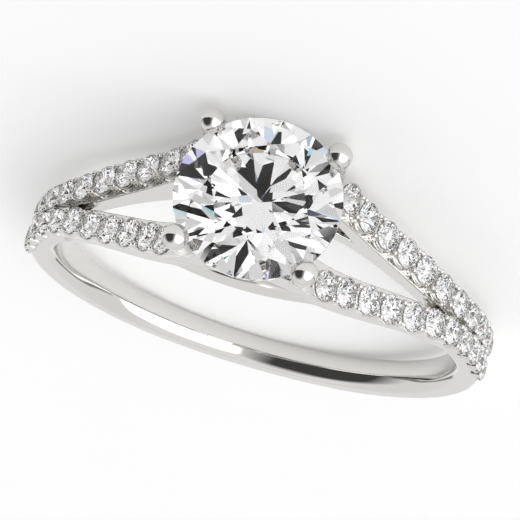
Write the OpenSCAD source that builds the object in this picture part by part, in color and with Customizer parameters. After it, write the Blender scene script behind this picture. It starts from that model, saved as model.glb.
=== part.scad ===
// Split-shank engagement ring: a round brilliant in four prongs, with two rows of small
// brilliants down each shoulder. Millimetres. The ring is drawn standing, with the finger
// hole's axis along Y and the centre stone on +Z, and is then laid on its side to rest
// on the centre stone's girdle and the foot of the shank.

/* [Finger hole] */

// Radius of the finger hole, a US size 7
finger_r = 8.65; // [7.4:0.05:10.5]

/* [Shank] */

// Thickness of the shank from the finger hole outward
shank_thickness = 1.2; // [0.9:0.05:1.8]
// Half of the shank's width at its foot
shank_half_foot = 0.69; // [0.5:0.01:1.2]
// Half of the shank's width at its sides
shank_half_side = 0.84; // [0.6:0.01:1.4]
// Half width of the flat inside face, between the rounded comfort edges
inside_flat_half = 0.476; // [0.3:0.002:0.6]
// Radius of the rounded inner edges
inner_edge_r = 0.37; // [0.1:0.01:0.5]
// Radius of the rounded outer edges
outer_edge_r = 0.22; // [0.05:0.01:0.4]

/* [Split shoulders] */

// Distance from the ring's middle to the point of the V between the rails
gap_apex_x = 6.85; // [5:0.05:8]
// Half width of the rounded point of the V
gap_apex_half = 0.15; // [0.1:0.01:0.4]
// Half width of the V beside the head
gap_head_half = 0.93; // [0.6:0.01:1.5]
// Distance from the ring's middle to where the V reaches that width
gap_head_x = 3.1; // [1:0.1:4]
// Distance from the ring's middle to the inner ends of the rails
rail_end_x = 2.0; // [1:0.05:2.6]
// Height of the rails' tops where they meet the prongs
rail_top_z = 11.45; // [10:0.05:12.5]
// Distance from the ring's middle where the rails' tops turn steeper toward the head
rail_bend_x = 3.9; // [3:0.05:5]

/* [Gallery] */

// Height of the two bars that follow the finger hole under the head
finger_bar_height = 0.75; // [0.4:0.05:1.2]
// Distance of the finger bars' outer faces from the middle plane, under the head
finger_bar_y = 2.18; // [1.5:0.01:2.6]
// Distance from the ring's middle to where the finger bars bow out of the rails
finger_bar_bow_x = 2.7; // [1.5:0.1:3.5]
// Foot of the two walls that join the prongs, inside the finger bars
head_wall_z = 8.9; // [8.8:0.05:10]
// Top of the walls that join the prongs
head_wall_top = 11.05; // [10.5:0.05:11.5]
// Distance of those walls' outer faces from the middle plane
head_wall_y = 1.9; // [1.5:0.01:2.4]
// Thickness of the walls that join the prongs
head_wall_thickness = 0.55; // [0.4:0.05:1]

/* [Centre stone] */

// Radius of the centre stone's girdle
stone_r = 3.07; // [2:0.01:4.5]
// Height of the girdle above the middle of the finger hole
girdle_z = 13.48; // [11:0.01:15]
// Table width over the girdle's width
table_ratio = 0.57; // [0.5:0.01:0.65]
// Slope of the crown in degrees
crown_angle = 34.5; // [30:0.5:38]
// Slope of the pavilion in degrees
pavilion_angle = 40.8; // [39:0.1:43]
// Thickness of the girdle over the girdle's width
girdle_ratio = 0.03; // [0.01:0.005:0.06]

/* [Prongs] */

// Distance of the prong tips from the middle along the shank
prong_x = 2.38; // [1.5:0.01:3.5]
// Distance of the prong tips from the middle along the finger
prong_y = 2.29; // [1.5:0.01:3.5]
// Distance of the prongs' feet from the middle along the shank
prong_foot_x = 2.2; // [1.5:0.01:3.5]
// Distance of the prongs' feet from the middle along the finger
prong_foot_y = 1.95; // [1.5:0.01:3.5]
// Height of the centre of the rounded tips
prong_tip_z = 13.7; // [12:0.01:15]
// Radius of the rounded tips
prong_tip_r = 0.45; // [0.3:0.01:0.7]
// Height of the prongs' feet
prong_foot_z = 10.3; // [9.5:0.05:11]
// Radius of the prongs at their feet
prong_foot_r = 0.36; // [0.2:0.01:0.6]

/* [Small stones] */

// Small stones on each of the four rails
row_count = 11; // [6:1:14]
// Distance of the first small stone from the ring's middle
row_first_x = 3.1; // [2.6:0.01:4]
// Distance between small stones along the rail
row_pitch = 1.24; // [1:0.01:1.6]
// Radius of the small stones beside the head
row_stone_r = 0.555; // [0.4:0.005:0.7]
// Height of the small stones' tables above the rail
row_table_rise = 0.24; // [0:0.01:0.3]
// Radius of the beads that hold the small stones
bead_r = 0.15; // [0.1:0.01:0.25]
// Distance of the beads from the middle line of their row
bead_spread = 0.31; // [0.25:0.01:0.45]
// Width of the rim around each small stone
cup_rim = 0.06; // [0.03:0.01:0.12]
// Depth of the cup that each small stone sits in
cup_depth = 0.75; // [0.5:0.05:1]

/* [Fit] */

// Gap left between each stone and the metal
seat_gap = 0.035; // [0.02:0.005:0.1]

/* [Hidden] */

$fn = 96;
reach = 30;
overlap = 0.4;
outer_r = finger_r + shank_thickness;
finger_bar_r = finger_r + finger_bar_height;
half_turn = 180;
stone_facets = 32;
weld = 0.001;

// Half width of the shoulders' straight walls, by distance from the ring's middle
wall_half_table = [
    // x, half width
    [0, 1.83],
    [3.3, 1.83],
    [4, 1.78],
    [5, 1.62],
    [6, 1.38],
    [7, 1.13],
    [7.9, 0.9],
    [8.37, 0.67],
    [8.7, 0.414]
];

// Distance of each row of small stones from the middle plane, and its stones' size over the
// first stone's, by distance from the ring's middle
row_table = [
    // x, row distance, size
    [3.1, 1.82, 1],
    [3.9, 1.58, 1],
    [4.8, 1.37, 1],
    [5.7, 1.16, 1],
    [6.5, 0.97, 1],
    [7.4, 0.76, 0.98],
    [8.1, 0.65, 0.95],
    [8.8, 0.57, 0.91],
    [9.3, 0.54, 0.87],
    [9.9, 0.52, 0.84]
];
row_y_by_x = [for (row = row_table) [row[0], row[1]]];
row_size_by_x = [for (row = row_table) [row[0], row[2]]];

// The rails' tops: a steep stretch beside the head, then a straight one that touches the
// shank's outer circle at 45 degrees
tangent_angle = 45;
tangent_x = outer_r * cos(tangent_angle);
bend = [rail_bend_x, 2 * tangent_x - rail_bend_x];
top_corner = [2.75, rail_top_z];
steep_angle = atan2(bend.x - top_corner.x, top_corner.y - bend.y);

function top_z(x) = top_corner.y + (x - top_corner.x) * (bend.y - top_corner.y) / (bend.x - top_corner.x);

first = [row_first_x, top_z(row_first_x)];
steep_run = norm(bend - first);
straight_run = norm([tangent_x, tangent_x] - bend);

// Place of a small stone along the rail: x, z and the direction that its table faces
function station(s) =
    s < steep_run ? concat(first + (bend - first) * s / steep_run, steep_angle)
    : s < steep_run + straight_run
        ? concat(bend + ([tangent_x, tangent_x] - bend) * (s - steep_run) / straight_run, tangent_angle)
    : let (a = tangent_angle - (s - steep_run - straight_run) / outer_r * half_turn / PI)
        [outer_r * cos(a), outer_r * sin(a), a];

// Round brilliant of radius 1: heights over the girdle's radius. A kite's two side corners are
// an eighth's half away from its middle and lie in its plane.
eighth = 45;
function crown_height() = (1 - table_ratio) * tan(crown_angle);
function pavilion_depth() = tan(pavilion_angle);
function kite_z(r) = (1 - r * cos(eighth / 2)) * tan(crown_angle);

// The shank's foot: half of its width and the reach of its outer corner, at a distance x
// from the foot's middle
shank_profile_half = inside_flat_half + inner_edge_r;
shank_taper_end = outer_r + 1;
function shank_half(x) = shank_half_foot + (shank_half_side - shank_half_foot) * x / shank_taper_end;
function leg(long, short) = sqrt(max(0, pow(long, 2) - pow(short, 2)));
function corner_inset(x) = max(0, shank_half(x) - shank_profile_half + outer_edge_r);
function corner_reach(x) = leg(outer_r - outer_edge_r + leg(outer_edge_r, corner_inset(x)), x);

// The way that the ring lies: two points of the foot and the centre stone's girdle touch the
// floor
girdle_low_z = girdle_z - girdle_ratio * stone_r;
lie_tilt = min([for (x = [0:0.05:4]) atan2(stone_r - shank_half(x), girdle_low_z + corner_reach(x))]);
rest_drop = stone_r * cos(lie_tilt) - girdle_low_z * sin(lie_tilt);
table_z = girdle_z + stone_r * (crown_height() + girdle_ratio);
head_reach = table_z * cos(lie_tilt) + table_ratio * stone_r * sin(lie_tilt);
foot_reach = (outer_r - outer_edge_r) * cos(lie_tilt) + outer_edge_r
    + (shank_profile_half - outer_edge_r) * sin(lie_tilt);
middle_y = (head_reach - foot_reach) / 2;

module lie_down() {
    translate([0, middle_y, rest_drop])
        rotate([lie_tilt - 90, 0, half_turn])
            children();
}

// A flat outline in X and Z, drawn through the whole width of the ring
module through_y(half) {
    rotate([90, 0, 0])
        translate([0, 0, -half])
            linear_extrude(height = 2 * half)
                children();
}

// The metal

module round_shank() {
    half = shank_profile_half;
    outer_x = outer_r - outer_edge_r;
    intersection() {
        rotate([90, 0, 0])
            rotate_extrude()
                difference() {
                    translate([finger_r - overlap, -half])
                        square([shank_thickness + overlap, 2 * half]);
                    for (side = [-1, 1]) {
                        difference() {
                            translate([finger_r - overlap, side > 0 ? inside_flat_half : -half - overlap])
                                square([overlap + inner_edge_r, inner_edge_r + overlap]);
                            translate([finger_r + inner_edge_r, side * inside_flat_half])
                                circle(r = inner_edge_r);
                        }
                        difference() {
                            translate([outer_x, side > 0 ? half - outer_edge_r : -half - overlap])
                                square([outer_edge_r + overlap, outer_edge_r + overlap]);
                            translate([outer_x, side * (half - outer_edge_r)])
                                circle(r = outer_edge_r);
                        }
                    }
                }
        linear_extrude(height = 2 * reach, center = true)
            polygon([
                [-shank_taper_end, -shank_half_side], [0, -shank_half_foot],
                [shank_taper_end, -shank_half_side], [shank_taper_end, shank_half_side],
                [0, shank_half_foot], [-shank_taper_end, shank_half_side]
            ]);
    }
}

module shoulder_side_view() {
    difference() {
        intersection() {
            circle(r = outer_r);
            translate([-reach, 0])
                square([2 * reach, reach]);
        }
        translate([-rail_end_x, finger_bar_r])
            square([2 * rail_end_x, shank_thickness]);
    }
    for (side = [-1, 1])
        scale([side, 1])
            polygon([
                [rail_end_x, finger_r], [rail_end_x, rail_top_z], top_corner, bend,
                [tangent_x, tangent_x], [finger_r / 2, finger_r / 2]
            ]);
}

// The opening between the rails' inner ends and the finger bars
module window_side_view() {
    foot = [3.6, 8.55];
    waist = [3, 9.7];
    top_x = 2.6;
    difference() {
        polygon([
            [-foot.x, foot.y], [-waist.x, waist.y], [-top_x, prong_foot_z],
            [top_x, prong_foot_z], waist, foot
        ]);
        circle(r = finger_bar_r);
    }
}

module shoulder_plan() {
    last = len(wall_half_table) - 1;
    corners = concat(
        wall_half_table,
        [for (i = [last:-1:0]) [wall_half_table[i].x, -wall_half_table[i].y]]
    );
    polygon(corners);
    scale([-1, 1])
        polygon(corners);
}

module shoulders() {
    intersection() {
        through_y(reach / 2)
            difference() {
                shoulder_side_view();
                window_side_view();
            }
        linear_extrude(height = reach)
            shoulder_plan();
    }
}

module gap_plan() {
    polygon([
        [gap_apex_x - gap_apex_half, gap_apex_half], [gap_head_x, gap_head_half],
        [-gap_head_x, gap_head_half], [-gap_apex_x + gap_apex_half, gap_apex_half],
        [-gap_apex_x + gap_apex_half, -gap_apex_half], [-gap_head_x, -gap_head_half],
        [gap_head_x, -gap_head_half], [gap_apex_x - gap_apex_half, -gap_apex_half]
    ]);
    for (side = [-1, 1])
        translate([side * (gap_apex_x - gap_apex_half), 0])
            circle(r = gap_apex_half);
}

// Bars that follow the finger hole, bowed out under the head
module finger_bars() {
    bow = finger_bar_y - wall_half_table[0][1];
    bow_r = (pow(finger_bar_bow_x, 2) + pow(bow, 2)) / (2 * bow);
    intersection() {
        through_y(finger_bar_y)
            intersection() {
                translate([-finger_bar_bow_x, finger_r - overlap])
                    square([2 * finger_bar_bow_x, 2 * finger_bar_height]);
                circle(r = finger_bar_r);
            }
        for (side = [-1, 1])
            intersection() {
                translate([0, side * (finger_bar_y - bow_r), 0])
                    cylinder(r = bow_r, h = outer_r);
                translate([-outer_r, side > 0 ? 0 : -outer_r, 0])
                    cube([2 * outer_r, outer_r, outer_r]);
            }
    }
}

// Walls that stand on the finger bars and join the prongs
module head_walls() {
    for (side = [-1, 1])
        translate([-prong_foot_x, side > 0 ? head_wall_y - head_wall_thickness : -head_wall_y, head_wall_z])
            cube([2 * prong_foot_x, head_wall_thickness, head_wall_top - head_wall_z]);
}

module prongs() {
    lean = [prong_x, prong_y, prong_tip_z] - [prong_foot_x, prong_foot_y, prong_foot_z];
    for (sx = [-1, 1], sy = [-1, 1])
        translate([sx * prong_foot_x, sy * prong_foot_y, prong_foot_z])
            rotate([0, acos(lean.z / norm(lean)), atan2(sy * lean.y, sx * lean.x)]) {
                cylinder(r1 = prong_foot_r, r2 = prong_tip_r, h = norm(lean));
                translate([0, 0, norm(lean)])
                    sphere(r = prong_tip_r);
            }
}

// Runs its children once at each small stone's place on one rail; the size is the stone's radius
module at_stone(i, side) {
    p = station(i * row_pitch);
    translate([p[0], side * lookup(p[0], row_y_by_x), p[1]])
        rotate([0, 90 - p[2], 0])
            children();
}

function stone_size(i) = row_stone_r * lookup(station(i * row_pitch)[0], row_size_by_x);

// Depth of a small stone's girdle below the rail's top
function girdle_depth(r) = r * (crown_height() + girdle_ratio) - row_table_rise;

module cups() {
    foot_ratio = 0.55;
    top_drop = 0.02;
    for (side = [-1, 1], i = [0:row_count - 1])
        at_stone(i, side)
            translate([0, 0, -cup_depth])
                cylinder(
                    r1 = stone_size(i) * foot_ratio, r2 = stone_size(i) + cup_rim,
                    h = cup_depth - top_drop, $fn = stone_facets
                );
}

module seats() {
    drill_r = 0.08;
    for (side = [-1, 1], i = [0:row_count - 1]) {
        r = stone_size(i);
        cone = r * pavilion_depth() + drill_r;
        at_stone(i, side)
            translate([0, 0, -girdle_depth(r) - cone]) {
                cylinder(r1 = drill_r, r2 = r + seat_gap, h = cone, $fn = stone_facets);
                translate([0, 0, cone - weld])
                    cylinder(r = r + seat_gap, h = shank_thickness, $fn = stone_facets);
            }
    }
}

module beads() {
    bead_depth = 0.5;
    bead_rise = 0.05;
    bead_taper = 0.8;
    for (side = [-1, 1], i = [0:row_count - 2]) {
        p = station((i + 0.5) * row_pitch);
        for (across = [-1, 1])
            translate([p[0], side * (lookup(p[0], row_y_by_x) + across * bead_spread), p[1]])
                rotate([0, 90 - p[2], 0])
                    translate([0, 0, -bead_depth])
                        cylinder(
                            r1 = bead_r, r2 = bead_r * bead_taper, h = bead_depth + bead_rise, $fn = 16
                        );
    }
}

module centre_seat() {
    r = stone_r + seat_gap;
    half_girdle = girdle_ratio * stone_r + seat_gap;
    translate([0, 0, girdle_z])
        rotate_extrude()
            polygon([
                [0, -pavilion_depth() * r - half_girdle], [r, -half_girdle], [r, half_girdle],
                [r * table_ratio, crown_height() * r + half_girdle],
                [0, crown_height() * r + half_girdle]
            ]);
}

module mounting_standing() {
    difference() {
        union() {
            difference() {
                union() {
                    round_shank();
                    shoulders();
                    finger_bars();
                }
                linear_extrude(height = reach)
                    gap_plan();
            }
            head_walls();
            difference() {
                prongs();
                centre_seat();
            }
            for (side = [0, 1])
                mirror([side, 0, 0]) {
                    cups();
                    beads();
                }
        }
        for (side = [0, 1])
            mirror([side, 0, 0])
                seats();
        rotate([90, 0, 0])
            cylinder(r = finger_r, h = reach, center = true);
    }
}

module mounting() {
    color("#d6d4cf")
        lie_down()
            mounting_standing();
}

// Round brilliant with a table, 8 stars, 8 kites and 16 halves above the girdle, and 8 mains
// and 16 halves below it. The middle of its girdle is at z = 0. The girdle has two points for
// each half, and the point between them lies in the half's own plane.
module brilliant(r) {
    crown = crown_height();
    star_r = (1 + table_ratio) / 2;
    star_z = kite_z(star_r);
    lower_r = 0.22;
    lower_z = -pavilion_depth() * (1 - lower_r * cos(eighth / 2));
    half_chord = cos(eighth / 4);
    upper_dip = (1 - half_chord) / half_chord * star_z / (1 - star_r);
    lower_dip = (1 - half_chord) / half_chord * -lower_z / (1 - lower_r);
    ring = [for (i = [0:31]) eighth / 4 * i];
    points = concat(
        [for (i = [0:7]) [
            table_ratio * cos(eighth * i), table_ratio * sin(eighth * i), crown + girdle_ratio
        ]],
        [for (i = [0:7]) [
            star_r * cos(eighth * (i + 0.5)), star_r * sin(eighth * (i + 0.5)), star_z + girdle_ratio
        ]],
        [for (i = [0:31]) [cos(ring[i]), sin(ring[i]), girdle_ratio - (i % 2) * upper_dip]],
        [for (i = [0:31]) [cos(ring[i]), sin(ring[i]), (i % 2) * lower_dip - girdle_ratio]],
        [for (i = [0:7]) [
            lower_r * cos(eighth * (i + 0.5)), lower_r * sin(eighth * (i + 0.5)), lower_z - girdle_ratio
        ]],
        [[0, 0, -pavilion_depth() - girdle_ratio]]
    );
    star = 8;
    upper = 16;
    under = 48;
    lower = 80;
    culet = 88;
    faces = concat(
        [[for (i = [7:-1:0]) i]],
        [for (i = [0:7]) [i, (i + 1) % 8, star + i]],
        [for (i = [0:7]) [i, star + i, upper + 4 * i]],
        [for (i = [0:7]) [i, upper + 4 * i, star + (i + 7) % 8]],
        [for (i = [0:7], j = [0:3]) [star + i, upper + (4 * i + j + 1) % 32, upper + 4 * i + j]],
        [for (i = [0:31]) [upper + i, upper + (i + 1) % 32, under + (i + 1) % 32, under + i]],
        [for (i = [0:7], j = [0:3]) [under + 4 * i + j, under + (4 * i + j + 1) % 32, lower + i]],
        [for (i = [0:7]) [under + 4 * i, lower + i, culet]],
        [for (i = [0:7]) [under + (4 * i + 4) % 32, culet, lower + i]]
    );
    scale(r)
        polyhedron(points = points, faces = faces, convexity = 4);
}

// The same cut with a plainer girdle of 16 sides, for the small stones
module small_brilliant(r) {
    crown = crown_height();
    star_r = (1 + table_ratio) / 2;
    star_z = kite_z(star_r);
    points = concat(
        [for (i = [0:7]) [
            table_ratio * cos(eighth * i), table_ratio * sin(eighth * i), crown + girdle_ratio
        ]],
        [for (i = [0:7]) [
            star_r * cos(eighth * (i + 0.5)), star_r * sin(eighth * (i + 0.5)), star_z + girdle_ratio
        ]],
        [for (i = [0:15]) [cos(eighth / 2 * i), sin(eighth / 2 * i), girdle_ratio]],
        [for (i = [0:15]) [cos(eighth / 2 * i), sin(eighth / 2 * i), -girdle_ratio]],
        [[0, 0, -pavilion_depth() - girdle_ratio]]
    );
    star = 8;
    upper = 16;
    under = 32;
    culet = 48;
    faces = concat(
        [[for (i = [7:-1:0]) i]],
        [for (i = [0:7]) [i, (i + 1) % 8, star + i]],
        [for (i = [0:7]) [i, star + i, upper + 2 * i]],
        [for (i = [0:7]) [i, upper + 2 * i, star + (i + 7) % 8]],
        [for (i = [0:7], j = [0:1]) [star + i, upper + (2 * i + j + 1) % 16, upper + 2 * i + j]],
        [for (i = [0:15]) [upper + i, upper + (i + 1) % 16, under + (i + 1) % 16, under + i]],
        [for (i = [0:15]) [under + i, under + (i + 1) % 16, culet]]
    );
    scale(r)
        polyhedron(points = points, faces = faces, convexity = 4);
}

module centre_stone() {
    color("#e8f0f4")
        lie_down()
            translate([0, 0, girdle_z])
                brilliant(stone_r);
}

module stone_rows() {
    for (side = [-1, 1], i = [0:row_count - 1]) {
        r = stone_size(i);
        at_stone(i, side)
            translate([0, 0, -girdle_depth(r)])
                small_brilliant(r);
    }
}

module pave_stones_left() {
    color("#dfeaf0")
        lie_down()
            mirror([1, 0, 0])
                stone_rows();
}

module pave_stones_right() {
    color("#dfeaf0")
        lie_down()
            stone_rows();
}

mounting();
centre_stone();
pave_stones_left();
pave_stones_right();
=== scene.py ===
import math

import bpy
import numpy as np
from mathutils import Matrix, Vector


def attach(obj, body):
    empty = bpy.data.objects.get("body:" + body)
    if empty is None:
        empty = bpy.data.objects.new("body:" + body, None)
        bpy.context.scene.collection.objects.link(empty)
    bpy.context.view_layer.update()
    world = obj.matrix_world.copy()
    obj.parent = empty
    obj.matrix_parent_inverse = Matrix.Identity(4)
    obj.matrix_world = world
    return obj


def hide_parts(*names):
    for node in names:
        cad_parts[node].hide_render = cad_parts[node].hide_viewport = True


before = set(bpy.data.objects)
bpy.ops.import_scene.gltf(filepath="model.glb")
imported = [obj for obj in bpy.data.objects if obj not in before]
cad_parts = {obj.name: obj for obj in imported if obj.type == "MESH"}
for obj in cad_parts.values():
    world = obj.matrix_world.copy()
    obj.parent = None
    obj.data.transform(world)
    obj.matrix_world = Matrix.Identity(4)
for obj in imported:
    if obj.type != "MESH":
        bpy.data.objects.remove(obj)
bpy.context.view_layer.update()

MM = 0.001

# The ring's own frame, as in part.scad: X across the shoulders, Y along the finger, Z up through
# the head, origin in the middle of the finger hole. Sizes in millimetres.
FINGER_R = 8.65
OUTER_R = 9.85
LIE_TILT = math.radians(5.829361)
REST_DROP = 1.6943675
MIDDLE_Y = 2.3592263

TO_ROW = np.array(
    [
        [-1.0, 0.0, 0.0],
        [0.0, -math.sin(LIE_TILT), -math.cos(LIE_TILT)],
        [0.0, -math.cos(LIE_TILT), math.sin(LIE_TILT)],
    ]
)
LYING_AT = np.array([0.0, MIDDLE_Y, REST_DROP])


def to_row(points):
    """Points of the ring's own frame, in millimetres, as metres in the row's frame"""
    return (np.asarray(points) @ TO_ROW.T + LYING_AT) * MM


def turn_to_row(vectors):
    """Directions of the ring's own frame in the row's frame"""
    return np.asarray(vectors) @ TO_ROW.T


# Camera, fitted to the photo in the ring's own frame: millimetres, pixels and degrees
CAMERA_AT = (6.18131, -21.43843, 80.23128)
CAMERA_AZIMUTH = 16.084
CAMERA_ELEVATION = 74.459
CAMERA_ROLL = 0.386
CAMERA_TURN = 0.068
CAMERA_NOD = 1.142
CAMERA_FOCAL_PX = 1962.98
IMAGE_PX = 520
SENSOR = 36.0


def rotated(first, second, degrees):
    """Two axes turned in their own plane"""
    c, s = math.cos(math.radians(degrees)), math.sin(math.radians(degrees))
    return first * c - second * s, second * c + first * s


def camera_axes():
    """The camera's right, up and back"""
    azimuth, elevation = math.radians(CAMERA_AZIMUTH), math.radians(CAMERA_ELEVATION)
    flat = math.cos(elevation)
    back = np.array([math.sin(azimuth) * flat, -math.cos(azimuth) * flat, math.sin(elevation)])
    right = np.array([math.cos(azimuth), math.sin(azimuth), 0.0])
    up = np.cross(back, right)
    back, up = rotated(back, up, CAMERA_NOD)
    back, right = rotated(back, right, CAMERA_TURN)
    up, right = rotated(up, right, CAMERA_ROLL)
    return right, up, back


camera_data = bpy.data.cameras.new("camera")
camera_data.sensor_width = SENSOR
camera_data.lens = CAMERA_FOCAL_PX / IMAGE_PX * SENSOR
camera_data.clip_start = 0.001
camera_data.clip_end = 10
camera = bpy.data.objects.new("camera", camera_data)
bpy.context.scene.collection.objects.link(camera)
axes = np.array([turn_to_row(axis) for axis in camera_axes()]).T
placed = Matrix(axes.tolist()).to_4x4()
placed.translation = Vector(to_row(CAMERA_AT))
camera.matrix_world = placed
bpy.context.scene.camera = camera

# Floor, half its width in metres
FLOOR = 0.6
floor_mesh = bpy.data.meshes.new("floor")
floor_mesh.from_pydata(
    [(-FLOOR, -FLOOR, 0), (FLOOR, -FLOOR, 0), (FLOOR, FLOOR, 0), (-FLOOR, FLOOR, 0)],
    [],
    [(0, 1, 2, 3)],
)
floor = bpy.data.objects.new("floor", floor_mesh)
bpy.context.scene.collection.objects.link(floor)

# Rows of small stones. They start and step as in part.scad, a little nearer the middle and with
# slightly larger stones.
ROW_COUNT = 11
ROW_FIRST_X = 3.1
ROW_PITCH = 1.24
ROW_STONE_R = 0.585
ROW_TABLE_RISE = 0.24
# x, distance of the row from the middle plane, size over the first stone's
ROW_TABLE = np.array(
    [
        [3.1, 1.76, 1],
        [3.9, 1.53, 1],
        [4.8, 1.33, 1],
        [5.7, 1.16, 1],
        [6.5, 0.97, 1],
        [7.4, 0.73, 0.98],
        [8.1, 0.61, 0.95],
        [8.8, 0.55, 0.91],
        [9.3, 0.54, 0.87],
        [9.9, 0.52, 0.84],
    ]
)

# The rail's top runs steeply down from the head, then straight, then round the finger hole
BEND_X = 3.9
TANGENT_X = OUTER_R * math.cos(math.pi / 4)
TANGENT = np.array([TANGENT_X, TANGENT_X])
BEND = np.array([BEND_X, 2 * TANGENT_X - BEND_X])
TOP_CORNER = np.array([2.75, 11.45])
STEEP = math.atan2(BEND[0] - TOP_CORNER[0], TOP_CORNER[1] - BEND[1])
FIRST = TOP_CORNER + (BEND - TOP_CORNER) * (ROW_FIRST_X - TOP_CORNER[0]) / (BEND_X - TOP_CORNER[0])
STEEP_RUN = np.linalg.norm(BEND - FIRST)
STRAIGHT_RUN = np.linalg.norm(TANGENT - BEND)

# Cut of the brilliants
TABLE_RATIO = 0.57
CROWN_ANGLE = math.radians(34.5)
PAVILION_ANGLE = math.radians(40.8)
GIRDLE_RATIO = 0.03
STONE_R = 3.07
GIRDLE_Z = 13.48
SEAT_GAP = 0.02
SMALL_SEAT_GAP = 0.012


def station(s):
    """x, z and the angle that the rail's top faces, s millimetres down from the first stone"""
    if s < STEEP_RUN:
        x, z = FIRST + (BEND - FIRST) * s / STEEP_RUN
        return x, z, STEEP
    if s < STEEP_RUN + STRAIGHT_RUN:
        x, z = BEND + (TANGENT - BEND) * (s - STEEP_RUN) / STRAIGHT_RUN
        return x, z, math.pi / 4
    a = math.pi / 4 - (s - STEEP_RUN - STRAIGHT_RUN) / OUTER_R
    return OUTER_R * math.cos(a), OUTER_R * math.sin(a), a


def row_y(x):
    return np.interp(x, ROW_TABLE[:, 0], ROW_TABLE[:, 1])


def row_r(x):
    return ROW_STONE_R * np.interp(x, ROW_TABLE[:, 0], ROW_TABLE[:, 2])


def places(count, start):
    """x, row distance, z, facing angle and stone radius at each step of a row"""
    out = []
    for i in range(count):
        x, z, a = station((i + start) * ROW_PITCH)
        out.append((x, float(row_y(x)), z, a, float(row_r(x))))
    return out


SMALL_STONES = places(ROW_COUNT, 0)
BETWEEN_STONES = places(ROW_COUNT - 1, 0.5)


def girdle_depth(r):
    """How far the middle of a small stone's girdle lies under the rail's top"""
    return r * ((1 - TABLE_RATIO) * math.tan(CROWN_ANGLE) + GIRDLE_RATIO) - ROW_TABLE_RISE


# The metal as a signed distance, in millimetres: negative inside. FAR stands for a place where a
# shape isn't. smin and smax blend two distances over a width, rmax rounds the edge where two
# meet to a radius.
FAR = 1.0


def smin(a, b, k):
    h = np.maximum(k - np.abs(a - b), 0) / k
    return np.minimum(a, b) - h * h * k / 4


def smax(a, b, k):
    return -smin(-a, -b, k)


def rmax(a, b, r):
    past_a, past_b = a + r, b + r
    corner = np.hypot(np.maximum(past_a, 0), np.maximum(past_b, 0))
    return corner + np.minimum(np.maximum(past_a, past_b), 0) - r


def ramp(x, lo, hi):
    t = np.clip((x - lo) / (hi - lo), 0, 1)
    return t * t * (3 - 2 * t)


def between(a, b, share):
    return a + (b - a) * share


# Half width of the shoulders' walls by distance from the ring's middle, smoothed between its sizes
WALL = np.array(
    [
        [0, 1.83],
        [3.3, 1.83],
        [4, 1.78],
        [5, 1.62],
        [6, 1.38],
        [7, 1.13],
        [7.9, 0.9],
        [8.37, 0.67],
        [8.7, 0.414],
        [10, -0.6],
    ]
)
SMOOTH_REACH = 40
SMOOTH_WIDTH = 14.0
wall_x = np.linspace(0, WALL[-1, 0], 501)
wall_fine = np.interp(wall_x, WALL[:, 0], WALL[:, 1])
kernel = np.exp(-0.5 * (np.arange(-SMOOTH_REACH, SMOOTH_REACH + 1) / SMOOTH_WIDTH) ** 2)
last_slope = wall_fine[-1] - wall_fine[-2]
before = np.full(SMOOTH_REACH, wall_fine[0])
after = wall_fine[-1] + last_slope * np.arange(1, SMOOTH_REACH + 1)
wall_fine = np.convolve(np.concatenate([before, wall_fine, after]), kernel / kernel.sum(), "valid")


def wall_half(x):
    return np.interp(x, wall_x, wall_fine)


SHANK_HALF = 0.7
SHANK_WIDENING = 0.17


def shank_half(x):
    """Half width of the shank: least at the foot, and wider toward the sides"""
    return SHANK_HALF + SHANK_WIDENING * (np.sqrt(x * x + 1) - 1) / (OUTER_R + 1)


# The V between the rails of a shoulder
GAP_END_X = 6.7
GAP_END_R = 0.15
GAP_HEAD_X = 3.1
GAP_HEAD = 0.93
GAP_BLEND = 0.15
GAP_SLOPE = (GAP_HEAD - GAP_END_R) / (GAP_END_X - GAP_HEAD_X)
GAP_EDGE = 0.05


def gap_distance(x, y):
    """Distance to the V between the rails, in plan"""
    slanted = (y - GAP_END_R - GAP_SLOPE * (GAP_END_X - x)) / math.hypot(1, GAP_SLOPE)
    tip = np.hypot(np.maximum(x - GAP_END_X, 0), y) - GAP_END_R
    return np.where(x > GAP_END_X, tip, smax(y - GAP_HEAD, slanted, GAP_BLEND))


def local(x, y, z, place, reach):
    """The points near a small stone and their coordinates: along the row, across it, out of it"""
    sx, sy, sz, sa, _ = place
    near = (np.abs(x - sx) < reach) & (np.abs(z - sz) < reach)
    if not near.any():
        return None
    px, py, pz = x[near] - sx, y[near] - sy, z[near] - sz
    out, along = (math.cos(sa), math.sin(sa)), (-math.sin(sa), math.cos(sa))
    return near, px * along[0] + pz * along[1], py, px * out[0] + pz * out[1]


# Where shapes fade in, by angle over the ring's side: the open shoulders, and the steps beside
# the stones
OPENS = (6, 30)
STEPS = (2, 16)
TOP_BLEND = 0.2
WALL_BLEND = 0.12
# The dome of the shank's inner face 1 mm from its middle, its share at the ring's sides, and the
# heights under the middle between which it grows
DOME = 0.55
DOME_AT_SIDES = 0.4
DOME_GROWS = (2, 7)
# The plane that the shank's edges are rounded to, and the radii of inner, outer and rail edges
EDGE_PLANE = 0.88
INNER_EDGE = 0.4
OUTER_EDGE = 0.22
RAIL_EDGE = 0.07
# Depth of the steps on the rails' outer and inner side, and half the width between the two
LEDGE = 0.4
INNER_LEDGE = 0.26
LEDGE_CHANGE = 0.15
# The walls slant in plan, which makes the distance to them shorter
WALL_SLANT = 0.97
WALL_EDGE = 0.05
RAIL_END_X = 2.0
RAIL_END_DROP = 0.1
RAIL_END_EDGE = 0.06


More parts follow.
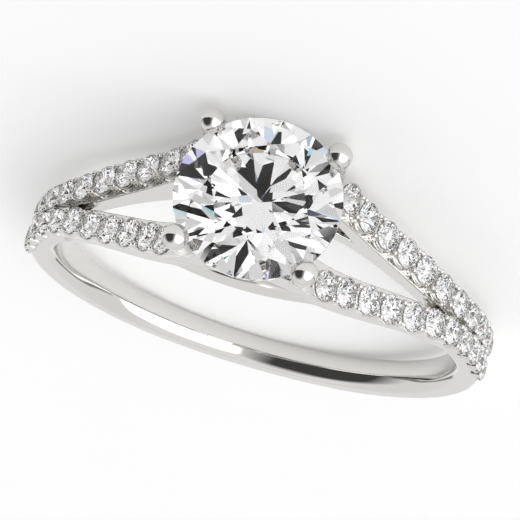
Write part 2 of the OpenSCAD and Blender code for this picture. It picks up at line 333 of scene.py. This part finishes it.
def band_distance(x, y, z, over, wall):
    """The shank and the rails, whose top steps down beside the stones so that cups stand free"""
    angle = np.degrees(np.arctan2(z, x))
    up = z > 0
    opened = np.where(up, ramp(angle, *OPENS), 0)
    dome = DOME * (1 - opened) * between(DOME_AT_SIDES, 1, ramp(-z, *DOME_GROWS))
    inside = FINGER_R + dome * np.minimum(y, 1) ** 2 - np.hypot(x, z)
    wide = y - wall - (EDGE_PLANE - shank_half(x)) * (1 - opened)
    ledge = between(INNER_LEDGE, LEDGE, ramp(y - row_y(x), -LEDGE_CHANGE, LEDGE_CHANGE))
    lowered = over + ledge * np.where(up, ramp(angle, *STEPS), 0)
    band = np.maximum(
        rmax(inside, wide, between(INNER_EDGE, RAIL_EDGE, opened)),
        rmax(lowered, wide, between(OUTER_EDGE, RAIL_EDGE, opened)),
    )
    band = rmax(band, (y - wall) * WALL_SLANT, WALL_EDGE)
    rail_end = np.maximum(RAIL_END_X - x, z - TOP_CORNER[1] + RAIL_END_DROP)
    return np.where(angle > 45, rmax(band, rail_end, RAIL_END_EDGE), band)


# The ridge that carries a row of stones: its half width, its height under the rail's top where
# the rows are apart and how much lower it is where they run together, and how deep it goes
RIDGE_HALF = 0.36
RIDGE_DROP = 0.1
MERGED_DROP = 0.16
MERGES = (7.1, 7.7)
RIDGE_DEPTH = 0.8
RIDGE_END_X = 2.45
RIDGE_EDGE = 0.1
RIDGE_END_EDGE = 0.05
RIDGE_BLEND = 0.06
# It keeps inside the wall at the ring's side and grows past it toward the head
INSIDE_WALL = 0.06
PAST_WALL = 0.36
PAST_WALL_GROWS = (3, 9)
# Angles over the ring's side between which it sinks, how far, and where it ends
SINKS = (2, 9)
SINK = 0.4
RIDGE_END_ANGLE = -2


def ridge_distance(x, y, z, over, wall):
    merged = ramp(x, *MERGES)
    from_row = y - row_y(x)
    across_row = np.maximum(from_row, -from_row - 2 * merged)
    ridge = rmax(over + RIDGE_DROP + MERGED_DROP * merged, across_row - RIDGE_HALF, RIDGE_EDGE)
    ridge = rmax(ridge, np.maximum(RIDGE_END_X - x, -(over + RIDGE_DEPTH)), RIDGE_END_EDGE)
    past_wall = y - wall + INSIDE_WALL - PAST_WALL * ramp(z, *PAST_WALL_GROWS)
    ridge = rmax(ridge, past_wall, RIDGE_EDGE)
    angle = np.degrees(np.arctan2(z, x))
    sunk = ridge + SINK * ramp(-angle, -SINKS[1], -SINKS[0])
    return np.where(angle > RIDGE_END_ANGLE, sunk, FAR)


# Bars that follow the finger hole under the head. Each bows out by BAR_BOW over its half length.
BAR_R = FINGER_R + 0.75
BAR_SLANT = 0.24
BAR_HALF = 2.7
BAR_BOW = 0.35
BAR_Y = 2.18
BAR_END_X = 2.9
BAR_EDGE = 0.07
BAR_INNER_EDGE = 0.09
BAR_BLEND = 0.06
BOW_R = (BAR_HALF**2 + BAR_BOW**2) / (2 * BAR_BOW)


def bar_distance(x, y, z):
    r = np.hypot(x, z)
    bow = np.sqrt(np.maximum(BOW_R**2 - x * x, 0)) - BOW_R + BAR_Y
    slant = (y - bow + BAR_SLANT * (r - FINGER_R)) / math.hypot(1, BAR_SLANT)
    bar = rmax(rmax(r - BAR_R, slant, BAR_EDGE), FINGER_R - r, BAR_INNER_EDGE)
    return np.maximum(np.maximum(bar, x - BAR_END_X), -z)


# The window over the bars: x and z on each slanted side with the direction that it faces, then
# the middle and half of its height
WINDOW_SIDES = ((3.6, 8.55, 0.8866, 0.4626), (3.0, 9.7, 0.832, 0.5547))
WINDOW_MIDDLE = 7
WINDOW_HALF = 3.3
WINDOW_EDGE = 0.08


def window_distance(x, z):
    sides = [(x - sx) * nx + (z - sz) * nz for sx, sz, nx, nz in WINDOW_SIDES]
    ends = np.maximum(BAR_R - np.hypot(x, z), np.abs(z - WINDOW_MIDDLE) - WINDOW_HALF)
    return np.maximum(np.maximum(*sides), ends)


# Past its end the V runs on as a narrowing groove between the rows
GROOVE_END_X = 7.7
GROOVE_END_HALF = 0.02
GROOVE_SLOPE = 0.17
GROOVE_DEPTH = 0.6
GROOVE_EDGE = 0.04


def groove_distance(x, y, over):
    across = y - GROOVE_END_HALF - GROOVE_SLOPE * (GROOVE_END_X - x)
    ends = np.maximum(-(over + GROOVE_DEPTH), GAP_END_X - x)
    return np.maximum(np.maximum(across, x - GROOVE_END_X), ends)


# Walls that stand on the finger bars and join the prongs: end, middle and half in y and in z
PLATE_END_X = 3.3
PLATE_Y = (1.57, 0.27)
PLATE_Z = (9.75, 0.9)
PLATE_EDGE = 0.06
PLATE_BLEND = 0.12


def plate_distance(x, y, z):
    past = np.stack(
        [x - PLATE_END_X, np.abs(y - PLATE_Y[0]) - PLATE_Y[1], np.abs(z - PLATE_Z[0]) - PLATE_Z[1]]
    )
    past = past + PLATE_EDGE
    corner = np.linalg.norm(np.maximum(past, 0), axis=0)
    return corner + np.minimum(past.max(axis=0), 0) - PLATE_EDGE


# Cups round the small stones
CUP_LIP = 0.05
CUP_RIM_DROP = 0.09
CUP_DEPTH = 0.75
CUP_FOOT = 0.55
CUP_EDGE = 0.03
CUP_BLEND = 0.05
CUP_REACH = 1.3
# The share of the depth that stays at the ring's side, and the facing angles where it grows
CUP_LEAST = 0.35
CUP_GROWS = (0.2, 0.85)


def cup_depth(facing):
    """The cups get shallower toward the side of the ring"""
    return CUP_DEPTH * (CUP_LEAST + (1 - CUP_LEAST) * float(ramp(facing, *CUP_GROWS)))


def add_cups(body, x, y, z):
    for place in SMALL_STONES:
        found = local(x, y, z, place, CUP_REACH)
        if found is None:
            continue
        near, u, v, h = found
        r_top = place[4] + CUP_LIP
        depth = cup_depth(place[3])
        r_foot = place[4] * (1 - (1 - CUP_FOOT) * depth / CUP_DEPTH)
        slope = (r_top - r_foot) / depth
        side = (np.hypot(u, v) - (r_foot + slope * (h + depth))) / math.hypot(1, slope)
        rim = h + girdle_depth(place[4]) + CUP_RIM_DROP
        cup = rmax(np.maximum(side, -(h + depth)), rim, CUP_EDGE)
        body[near] = smin(body[near], cup, CUP_BLEND)


# Two pairs of grains between neighbouring stones, each a post with a round top
GRAIN_R = 0.11
GRAIN_ACROSS = 0.4
GRAIN_ALONG = 0.115
GRAIN_TOP = 0.09
GRAIN_FOOT = 0.8
GRAIN_BLEND = 0.03
GRAIN_REACH = 1.2
# One grain between the two rows where they meet, as wide as the room there allows
MIDDLE_GRAIN_X = (7.6, 9.3)
MIDDLE_GRAIN_R = 0.08
MIDDLE_GRAIN_ROOM = 0.6
MIDDLE_GRAIN_DEPTH = 0.5
MIDDLE_GRAIN_REACH = 0.5


def add_grains(body, x, y, z):
    for place in BETWEEN_STONES:
        found = local(x, y, z, place, GRAIN_REACH)
        if found is None:
            continue
        near, u, v, h = found
        rise = h - np.clip(h, -GRAIN_FOOT * cup_depth(place[3]), GRAIN_TOP)
        across, along = np.abs(v) - GRAIN_ACROSS, np.abs(u) - GRAIN_ALONG
        grain = np.sqrt(across**2 + along**2 + rise**2)
        body[near] = smin(body[near], grain - GRAIN_R, GRAIN_BLEND)

    for place in SMALL_STONES + BETWEEN_STONES:
        if not MIDDLE_GRAIN_X[0] < place[0] < MIDDLE_GRAIN_X[1]:
            continue
        found = local(x, y, z, place, MIDDLE_GRAIN_REACH)
        if found is None:
            continue
        near, u, v, h = found
        room = place[1] - place[4]
        grain = np.sqrt(u * u + v * v + (h - np.clip(h, -MIDDLE_GRAIN_DEPTH, 0)) ** 2)
        grain = grain - MIDDLE_GRAIN_R - MIDDLE_GRAIN_ROOM * room
        body[near] = smin(body[near], grain, GRAIN_BLEND)


def stone_room(past_girdle, height, half_girdle):
    """Distance to a stone's girdle and cones, from how far a point lies past the girdle's radius
    and over its middle"""
    crown = past_girdle * math.sin(CROWN_ANGLE) + (height - half_girdle) * math.cos(CROWN_ANGLE)
    under = height + half_girdle
    pavilion = past_girdle * math.sin(PAVILION_ANGLE) - under * math.cos(PAVILION_ANGLE)
    return np.maximum(past_girdle, np.maximum(crown, pavilion))


SMALL_HALF_GIRDLE = 0.02
SEAT_EDGE = 0.02
SEAT_REACH = 1.2


def cut_seats(body, x, y, z):
    for place in SMALL_STONES:
        found = local(x, y, z, place, SEAT_REACH)
        if found is None:
            continue
        near, u, v, h = found
        past = np.hypot(u, v) - place[4] - SMALL_SEAT_GAP
        seat = stone_room(past, h + girdle_depth(place[4]), SMALL_HALF_GIRDLE)
        body[near] = smax(body[near], -seat, SEAT_EDGE)


# Prongs: stems that widen from foot to tip, with a ball on the tip
PRONG_TIP = np.array([2.38, 2.29, 13.7])
PRONG_FOOT = np.array([2.2, 1.62, 10.5])
PRONG_R = 0.34
PRONG_WIDENING = 0.1
PRONG_END_EDGE = 0.1
BALL_R = 0.49
BALL_BLEND = 0.04
# The prongs run into the head with a wider blend between these heights
PRONG_BLEND = 0.04
PRONG_FOOT_BLEND = 0.3
PRONG_FOOT_Z = (11, 12.4)


def prong_distance(x, y, z):
    length = np.linalg.norm(PRONG_TIP - PRONG_FOOT)
    lean = (PRONG_TIP - PRONG_FOOT) / length
    points = np.stack([x, y, z], -1)
    off = points - PRONG_FOOT
    v = off @ lean
    stem = np.sqrt(np.maximum((off**2).sum(-1) - v * v, 0)) - PRONG_R
    stem = stem - PRONG_WIDENING * np.clip(v / length, 0, 1)
    stem = rmax(stem, np.maximum(v - length, -v), PRONG_END_EDGE)
    ball = np.linalg.norm(points - PRONG_TIP, axis=-1) - BALL_R
    past = np.hypot(x, y) - STONE_R - SEAT_GAP
    room = stone_room(past, z - GIRDLE_Z, GIRDLE_RATIO * STONE_R)
    return smax(smin(stem, ball, BALL_BLEND), -room, SEAT_EDGE)


def metal(x, y, z):
    """Distance to the mounting"""
    x, y = np.abs(x), np.abs(y)
    up = z > 0
    half = shank_half(x)
    wall = np.where(up, smax(wall_half(x), half, WALL_BLEND), half)

    # Height over the rails' top: the shank's outer circle, then the straight and the steep stretch
    line = (x + z) / math.sqrt(2) - OUTER_R
    steep = (x - TOP_CORNER[0]) * math.cos(STEEP) + (z - TOP_CORNER[1]) * math.sin(STEEP)
    low = np.degrees(np.arctan2(z, x)) < 45
    over = np.where(low, np.hypot(x, z) - OUTER_R, smin(line, steep, TOP_BLEND))

    body = band_distance(x, y, z, over, wall)
    body = smin(body, ridge_distance(x, y, z, over, wall), RIDGE_BLEND)
    body = smin(body, bar_distance(x, y, z), BAR_BLEND)
    body = smax(body, -window_distance(x, z), WINDOW_EDGE)
    add_cups(body, x, y, z)
    body = smax(body, -np.where(up, gap_distance(x, y), FAR), GAP_EDGE)
    body = smax(body, -np.where(up, groove_distance(x, y, over), FAR), GROOVE_EDGE)
    body = smin(body, plate_distance(x, y, z), PLATE_BLEND)
    add_grains(body, x, y, z)
    cut_seats(body, x, y, z)
    foot = ramp(-z, -PRONG_FOOT_Z[1], -PRONG_FOOT_Z[0])
    return smin(body, prong_distance(x, y, z), PRONG_BLEND + PRONG_FOOT_BLEND * foot)


# Layers of the grid that are worked out at once
SLAB = 16


def net(f, lo, hi, cell):
    """Surface net of f <= 0 over a box: one vertex in each cell that the surface crosses"""
    axes = [np.arange(lo[i], hi[i] + cell[i], cell[i]) for i in range(3)]
    v = np.empty([len(a) for a in axes])
    for i in range(0, len(axes[0]), SLAB):
        grid = np.meshgrid(axes[0][i : i + SLAB], axes[1], axes[2], indexing="ij")
        v[i : i + SLAB] = f(*[g.ravel() for g in grid]).reshape(grid[0].shape)
    inside = v < 0
    cells = [n - 1 for n in v.shape]
    total = np.zeros(cells + [3])
    count = np.zeros(cells)

    def ends(array, axis):
        a, b = [slice(None)] * 3, [slice(None)] * 3
        a[axis], b[axis] = slice(0, -1), slice(1, None)
        return array[tuple(a)], array[tuple(b)]

    for axis in range(3):
        va, vb = ends(v, axis)
        cross = (va < 0) != (vb < 0)
        t = np.where(cross, va / np.where(cross, va - vb, 1), 0)
        side = [(axis + 1) % 3, (axis + 2) % 3]
        for d in np.ndindex(2, 2):
            part = [slice(None)] * 3
            for s, shift in zip(side, d):
                part[s] = slice(shift, shift + cells[s])
            c = cross[tuple(part)]
            total[..., axis] += t[tuple(part)]
            for s, shift in zip(side, d):
                total[..., s] += c * shift
            count += c
    used = count > 0
    index = np.full(cells, -1)
    index[used] = np.arange(used.sum())
    points = np.array(lo) + (np.argwhere(used) + total[used] / count[used][:, None]) * cell
    quads = []
    for axis in range(3):
        ia, ib = ends(inside, axis)
        side = [(axis + 1) % 3, (axis + 2) % 3]
        cross = np.argwhere(ia != ib)
        for s in side:
            cross = cross[(cross[:, s] > 0) & (cross[:, s] < cells[s])]
        corners = []
        for d in ((1, 1), (0, 1), (0, 0), (1, 0)):
            at = cross.copy()
            at[:, side] -= d
            corners.append(index[tuple(at.T)])
        quad = np.stack(corners, 1)
        outward = ia[tuple(cross.T)]
        quad[~outward] = quad[~outward][:, ::-1]
        quads.append(quad)
    return points, np.concatenate(quads)


TINY = 1e-9
SLOPE_STEP = 0.002
SETTLE_ROUNDS = 4
LONGEST_MOVE = 0.03
LEAST_SLOPE = 0.04


def gradient(f, p):
    g = np.empty_like(p)
    for i in range(3):
        d = np.zeros(3)
        d[i] = SLOPE_STEP
        g[:, i] = (f(*(p + d).T) - f(*(p - d).T)) / (2 * SLOPE_STEP)
    return g


def settle(f, p, fixed):
    """Moves points onto the surface of f, except along the coordinates that fixed marks, and gives
    them and their normals"""
    p = p.copy()
    for _ in range(SETTLE_ROUNDS):
        g = np.where(fixed, 0, gradient(f, p))
        move = -(f(*p.T) / np.maximum((g * g).sum(1), LEAST_SLOPE))[:, None] * g
        size = np.linalg.norm(move, axis=1)
        p += move * np.minimum(1, LONGEST_MOVE / np.maximum(size, TINY))[:, None]
    n = np.where(fixed, 0, gradient(f, p))
    return p, n / np.maximum(np.linalg.norm(n, axis=1), TINY)[:, None]


def material(name):
    made = bpy.data.materials.new(name)
    made.use_nodes = True
    return made, made.node_tree, made.node_tree.nodes["Principled BSDF"]


def noise(tree, scale, detail):
    """Solid noise in the object's own coordinates"""
    coordinates = tree.nodes.new("ShaderNodeTexCoord")
    made = tree.nodes.new("ShaderNodeTexNoise")
    made.inputs["Scale"].default_value = scale
    made.inputs["Detail"].default_value = detail
    tree.links.new(coordinates.outputs["Object"], made.inputs["Vector"])
    return made.outputs["Fac"]


# The range that most of the noise lies in
NOISE_LOW = 0.3
NOISE_HIGH = 0.7


def spread(tree, value, low, high):
    """Turns noise into a number between low and high"""
    made = tree.nodes.new("ShaderNodeMapRange")
    made.inputs["From Min"].default_value = NOISE_LOW
    made.inputs["From Max"].default_value = NOISE_HIGH
    made.inputs["To Min"].default_value = low
    made.inputs["To Max"].default_value = high
    tree.links.new(value, made.inputs["Value"])
    return made.outputs["Result"]


def tinted(tree, value, first, second):
    """Turns noise into a colour between two"""
    made = tree.nodes.new("ShaderNodeValToRGB")
    made.color_ramp.elements[0].color = first
    made.color_ramp.elements[1].color = second
    tree.links.new(value, made.inputs["Fac"])
    return made.outputs["Color"]


# Pale paper, slightly lit from within so that it comes out white
floor_look, tree, shader = material("floor_paper")
paper = tinted(tree, noise(tree, 90, 3), (0.8, 0.8, 0.8, 1), (0.82, 0.82, 0.82, 1))
tree.links.new(paper, shader.inputs["Base Color"])
shader.inputs["Roughness"].default_value = 0.7
shader.inputs["Emission Color"].default_value = (1, 1, 1, 1)
shader.inputs["Emission Strength"].default_value = 0.22
floor_mesh.materials.append(floor_look)

# Polished white gold: a faint warm drift, and the last trace of the polishing wheel
gold, tree, shader = material("white_gold")
shader.inputs["Metallic"].default_value = 1
warmth = tinted(tree, noise(tree, 260, 2), (0.71, 0.697, 0.677, 1), (0.74, 0.73, 0.71, 1))
tree.links.new(warmth, shader.inputs["Base Color"])
tree.links.new(spread(tree, noise(tree, 1800, 4), 0.04, 0.08), shader.inputs["Roughness"])
polish = tree.nodes.new("ShaderNodeBump")
polish.inputs["Strength"].default_value = 0.02
polish.inputs["Distance"].default_value = 0.00002
tree.links.new(noise(tree, 2600, 3), polish.inputs["Height"])
tree.links.new(polish.outputs["Normal"], shader.inputs["Normal"])


def diamond(name, clear, gloss):
    """Diamond, with a trace of colour that differs through the stones"""
    made, tree, shader = material(name)
    cool, warm = (0.985 * clear, 0.99 * clear, clear, 1), (clear, 0.99 * clear, 0.98 * clear, 1)
    tree.links.new(tinted(tree, noise(tree, 700, 2), cool, warm), shader.inputs["Base Color"])
    shader.inputs["Roughness"].default_value = 0.0
    shader.inputs["IOR"].default_value = 2.42
    shader.inputs["Specular Tint"].default_value = (gloss, gloss, gloss, 1)
    shader.inputs["Transmission Weight"].default_value = 1
    return made


def add_piece(name, points, faces, normals, look, node):
    """A piece from points in millimetres, polygons, and the normals of their corners or None"""
    mesh = bpy.data.meshes.new(name)
    sizes = np.array([len(f) for f in faces])
    corners = np.concatenate(faces).astype(np.int32)
    mesh.vertices.add(len(points))
    mesh.vertices.foreach_set("co", to_row(points).ravel())
    mesh.loops.add(len(corners))
    mesh.loops.foreach_set("vertex_index", corners)
    mesh.polygons.add(len(faces))
    mesh.polygons.foreach_set("loop_start", (np.cumsum(sizes) - sizes).astype(np.int32))
    mesh.update(calc_edges=True)
    mesh.polygons.foreach_set("use_smooth", np.full(len(faces), normals is not None))
    if normals is not None:
        mesh.normals_split_custom_set(turn_to_row(normals).tolist())
    mesh.materials.append(look)
    piece = bpy.data.objects.new(name, mesh)
    bpy.context.scene.collection.objects.link(piece)
    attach(piece, "root")
    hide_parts(node)


def open_loops(quads, count):
    """Closed loops of the edges that only one face uses, each turned so that it closes the solid"""
    a, b = quads.ravel(), np.roll(quads, -1, axis=1).ravel()
    single = ~np.isin(b * count + a, a * count + b)
    after = dict(zip(b[single].tolist(), a[single].tolist()))
    loops = []
    while after:
        start, at = next(iter(after.items()))
        del after[start]
        loop = [start]
        while at != start:
            loop.append(at)
            at = after.pop(at)
        loops.append(np.array(loop))
    return loops


def add_metal(name, points, quads, normals):
    """A piece of the mounting, closed with flat caps where it meets the next one"""
    caps = open_loops(quads, len(points))
    corners = [normals[quads.ravel()]]
    for loop in caps:
        rim = points[loop]
        flat = np.cross(rim, np.roll(rim, -1, axis=0)).sum(axis=0)
        corners.append(np.tile(flat / np.linalg.norm(flat), (len(loop), 1)))
    faces = list(quads) + caps
    add_piece(name, points, faces, np.concatenate(corners), gold, "mounting")


# Upper half of the mounting: one quarter is meshed and mirrored
CELL = np.array([0.058, 0.052, 0.058])
FAR_CORNER = (10.4, 2.95, 14.3)
ON_PLANE = 1e-6


def upper(x, y, z):
    return metal(x, y, np.abs(z))


points, quads = net(upper, -CELL / 2, FAR_CORNER, CELL)
on_plane = np.abs(points) < ON_PLANE
points[on_plane] = 0
points, normals = settle(upper, points, on_plane)
twin = np.arange(len(points)) + len(points)
twin[on_plane[:, 1]] = np.flatnonzero(on_plane[:, 1])
points = np.concatenate([points, points * (1, -1, 1)])
normals = np.concatenate([normals, normals * (1, -1, 1)])
quads = np.concatenate([quads, twin[quads][:, ::-1]])
kept, quads = np.unique(quads, return_inverse=True)
points, normals, quads = points[kept], normals[kept], quads.reshape(-1, 4)
add_metal("mounting_right", points, quads, normals)
add_metal("mounting_left", points * (-1, 1, 1), quads[:, ::-1], normals * (-1, 1, 1))

# Lower half of the shank, swept round the finger hole: each point is found by halving the way
# from the middle of the section to a distance that is outside it
SHANK_MIDDLE_R = 9.25
SHANK_STEPS = 180
SHANK_SIDES = 64
OUTSIDE = 1.4
HALVINGS = 30
turn = -np.pi * np.arange(SHANK_STEPS + 1) / SHANK_STEPS
side = 2 * np.pi * np.arange(SHANK_SIDES) / SHANK_SIDES
turn, side = [g.ravel() for g in np.meshgrid(turn, side, indexing="ij")]


def swept(t):
    r = SHANK_MIDDLE_R + t * np.cos(side)
    return np.stack([r * np.cos(turn), t * np.sin(side), r * np.sin(turn)], -1)


near, far = np.zeros(len(side)), np.full(len(side), OUTSIDE)
for _ in range(HALVINGS):
    middle = (near + far) / 2
    inside = metal(*swept(middle).T) < 0
    near, far = np.where(inside, middle, near), np.where(inside, far, middle)
points = swept(near)
normals = gradient(metal, points)
normals[np.abs(points[:, 2]) < ON_PLANE, 2] = 0
normals /= np.linalg.norm(normals, axis=1)[:, None]
first = np.arange(SHANK_STEPS)[:, None] * SHANK_SIDES
at = first + np.arange(SHANK_SIDES)
beside = first + (np.arange(SHANK_SIDES) + 1) % SHANK_SIDES
quads = np.stack([at, at + SHANK_SIDES, beside + SHANK_SIDES, beside], -1).reshape(-1, 4)
add_metal("shank", points, quads, normals)

# Radius of the inner end of the lower halves, over the girdle's
LOWER_HALF_R = 0.22


def brilliant():
    """Round brilliant of radius 1 with its girdle's middle at z = 0: points and polygons

    The girdle has two points for each half, and the point between them lies in the half's plane.
    """
    eighth = math.pi / 4
    rise, depth = math.tan(CROWN_ANGLE), math.tan(PAVILION_ANGLE)
    star_r = (1 + TABLE_RATIO) / 2
    star_z = (1 - star_r * math.cos(eighth / 2)) * rise
    lower_z = -depth * (1 - LOWER_HALF_R * math.cos(eighth / 2))
    bulge = (1 - math.cos(eighth / 4)) / math.cos(eighth / 4)
    odd = np.arange(32) % 2

    def ring(count, radius, z, shift=0):
        angle = 2 * math.pi * (np.arange(count) + shift) / count
        flat = [radius * np.cos(angle), radius * np.sin(angle)]
        return np.stack(flat + [np.broadcast_to(z, count)], -1)

    points = np.concatenate(
        [
            ring(8, TABLE_RATIO, (1 - TABLE_RATIO) * rise + GIRDLE_RATIO),
            ring(8, star_r, star_z + GIRDLE_RATIO, 0.5),
            ring(32, 1, GIRDLE_RATIO - odd * bulge * star_z / (1 - star_r)),
            ring(32, 1, odd * bulge * -lower_z / (1 - LOWER_HALF_R) - GIRDLE_RATIO),
            ring(8, LOWER_HALF_R, lower_z - GIRDLE_RATIO, 0.5),
            [[0, 0, -depth - GIRDLE_RATIO]],
        ]
    )
    star, top, bottom, lower, culet = 8, 16, 48, 80, 88
    faces = [list(range(8))]
    for i in range(8):
        after = (i + 1) % 8
        faces.append([i, star + i, after])
        faces.append([i, star + (i + 7) % 8, top + 4 * i, star + i])
        for j in range(4 * i, 4 * i + 4):
            edge = (j + 1) % 32
            faces.append([star + i, top + j, top + edge])
            faces.append([top + j, bottom + j, bottom + edge, top + edge])
            faces.append([bottom + j, lower + i, bottom + edge])
        faces.append([bottom + 4 * i, culet, lower + i])
        faces.append([bottom + 4 * after, lower + i, culet])
    return points, [np.array(f) for f in faces]


CUT_POINTS, CUT_FACES = brilliant()
add_piece(
    "round_brilliant",
    CUT_POINTS * STONE_R + (0, 0, GIRDLE_Z),
    CUT_FACES,
    None,
    diamond("diamond", 0.86, 0.1),
    "centre_stone",
)

small_diamond = diamond("diamond_small", 1, 0.5)
# Each small stone is turned about its own axis by chance
SEED = 11
draw = np.random.default_rng(SEED)
for word, way in (("left", -1), ("right", 1)):
    points, faces = [], []
    for mirror_y in (-1, 1):
        for sx, sy, sz, sa, sr in SMALL_STONES:
            spin = draw.uniform(0, math.pi / 4)
            c, s = math.cos(spin), math.sin(spin)
            turned = np.array([[c, -s, 0], [s, c, 0], [0, 0, 1]])
            cut = (CUT_POINTS @ turned.T) * sr
            out = np.array([math.cos(sa), 0, math.sin(sa)])
            along = np.array([-math.sin(sa), 0, math.cos(sa)])
            basis = np.stack([np.array([0, 1.0, 0]), along, out])
            place = np.array([sx, sy, sz]) - out * girdle_depth(sr)
            count = len(points) * len(CUT_POINTS)
            flip = 1 if way * mirror_y * np.linalg.det(basis) > 0 else -1
            faces += [f[::flip] + count for f in CUT_FACES]
            points.append((cut @ basis + place) * (way, mirror_y, 1))
    stones, node = np.concatenate(points), "pave_stones_" + word
    add_piece("pave_" + word, stones, faces, None, small_diamond, node)

# Studio light: pale all round, brighter overhead, with a large dark and a large bright panel by
# the camera and a dark strip behind the ring. Azimuths in degrees turn from -Y toward +X.
world = bpy.data.worlds.new("studio")
bpy.context.scene.world = world
world.use_nodes = True
sky, link_sky = world.node_tree.nodes, world.node_tree.links.new


def sky_math(operation, *values, clamp=False):
    node = sky.new("ShaderNodeMath")
    node.operation = operation
    node.use_clamp = clamp
    for socket, value in zip(node.inputs, values):
        if isinstance(value, (int, float)):
            socket.default_value = value
        else:
            link_sky(value, socket)
    return node.outputs[0]


TURN = 2 * math.pi
DEGREES = 180 / math.pi
direction = sky.new("ShaderNodeSeparateXYZ")
link_sky(sky.new("ShaderNodeTexCoord").outputs["Generated"], direction.inputs[0])
across, toward, height = direction.outputs
round_turn = sky_math("ARCTAN2", across, sky_math("MULTIPLY", toward, -1.0))
azimuth = sky_math("MULTIPLY", round_turn, DEGREES)
elevation = sky_math("MULTIPLY", sky_math("ARCSINE", height), DEGREES)


def panel(middle, half, corner, soft, azimuth=azimuth):
    """1 inside a rectangle of azimuth and elevation with rounded corners, 0 outside"""
    past = []
    for at, centre, reach in zip((azimuth, elevation), middle, half):
        off = sky_math("ABSOLUTE", sky_math("SUBTRACT", at, centre))
        past.append(sky_math("MAXIMUM", sky_math("SUBTRACT", off, reach - corner), 0.0))
    squares = [sky_math("MULTIPLY", p, p) for p in past]
    away = sky_math("SQRT", sky_math("ADD", *squares))
    return sky_math("MULTIPLY_ADD", away, -1 / soft, 0.5 + corner / soft, clamp=True)


def toward_value(value, target, share):
    kept = sky_math("MULTIPLY", value, sky_math("SUBTRACT", 1.0, share))
    return sky_math("ADD", kept, sky_math("MULTIPLY", share, target))


def wave(angle, period, phase):
    """A sine of an angle in degrees, with its period in degrees and its phase in radians"""
    return sky_math("SINE", sky_math("MULTIPLY_ADD", angle, TURN / period, phase))


SKY, ZENITH, BRIGHT, DARK = 0.88, 0.95, 2.2, 0.06
# The sky turns to the zenith's tone over ZENITH_RISE degrees, from ZENITH_FROM upward
ZENITH_FROM = 53
ZENITH_RISE = 10
risen = sky_math("SUBTRACT", elevation, ZENITH_FROM)
overhead = sky_math("MULTIPLY", risen, 1 / ZENITH_RISE, clamp=True)
both_sides = sky_math("ABSOLUTE", azimuth)
# Panels: middle, half size, radius of the corners and width of the soft edge
glow = toward_value(SKY, ZENITH, overhead)
glow = toward_value(glow, DARK, panel((50, 20), (46, 48), 30, 26))
glow = toward_value(glow, BRIGHT, panel((-46, 22), (40, 40), 24, 5))
glow = toward_value(glow, DARK, panel((128, 0), (34, 5), 1, 4, both_sides))

# What the stones' facets catch: pale light that rises and falls round the ring, broken by dark
# blocks and by the camera's own dark, with a few tinted panels
FACET_DARK = 0.02
TO_CAMERA = (-4.5, 20.7)
TONE, TONE_SWING, TONE_PERIOD = 1.04, 0.36, 71
BLOCK_ROUND, BLOCK_UP = (34, 0.9), (30, 0.4)
BLOCK_GAIN, BLOCK_SHIFT = 8, -2.6
blocks = sky_math("MULTIPLY", wave(azimuth, *BLOCK_ROUND), wave(elevation, *BLOCK_UP))
blocks = sky_math("MULTIPLY_ADD", blocks, BLOCK_GAIN, BLOCK_SHIFT, clamp=True)
tone = sky_math("MULTIPLY_ADD", wave(azimuth, TONE_PERIOD, 0.0), TONE_SWING, TONE)
fire = toward_value(tone, FACET_DARK, blocks)
fire = toward_value(fire, FACET_DARK, panel(TO_CAMERA, (13, 13), 12, 2))


def mix_sky(share, first, second):
    node = sky.new("ShaderNodeMix")
    node.data_type = "RGBA"
    for name, value in (("Factor_Float", share), ("A_Color", first), ("B_Color", second)):
        socket = next(i for i in node.inputs if i.identifier == name)
        if isinstance(value, tuple):
            socket.default_value = value
        else:
            link_sky(value, socket)
    return next(o for o in node.outputs if o.identifier == "Result_Color")


for middle, half, tint in (
    ((-72, 34), (7, 9), (0.35, 0.75, 0.85, 1)),
    ((26, 52), (8, 7), (0.62, 0.6, 0.95, 1)),
    ((78, 12), (8, 8), (0.75, 0.8, 0.45, 1)),
    ((-30, 58), (9, 6), (0.6, 0.45, 0.3, 1)),
    ((-20, 4), (6, 4), (0.7, 0.82, 1.0, 1)),
):
    fire = mix_sky(panel(middle, half, 3, 3), fire, tint)
through_stone = sky.new("ShaderNodeLightPath").outputs["Is Transmission Ray"]
link_sky(mix_sky(through_stone, glow, fire), sky["Background"].inputs["Color"])

scene = bpy.context.scene
scene.view_settings.view_transform = "Standard"
scene.cycles.max_bounces = 24
scene.cycles.transmission_bounces = 24
scene.cycles.glossy_bounces = 16
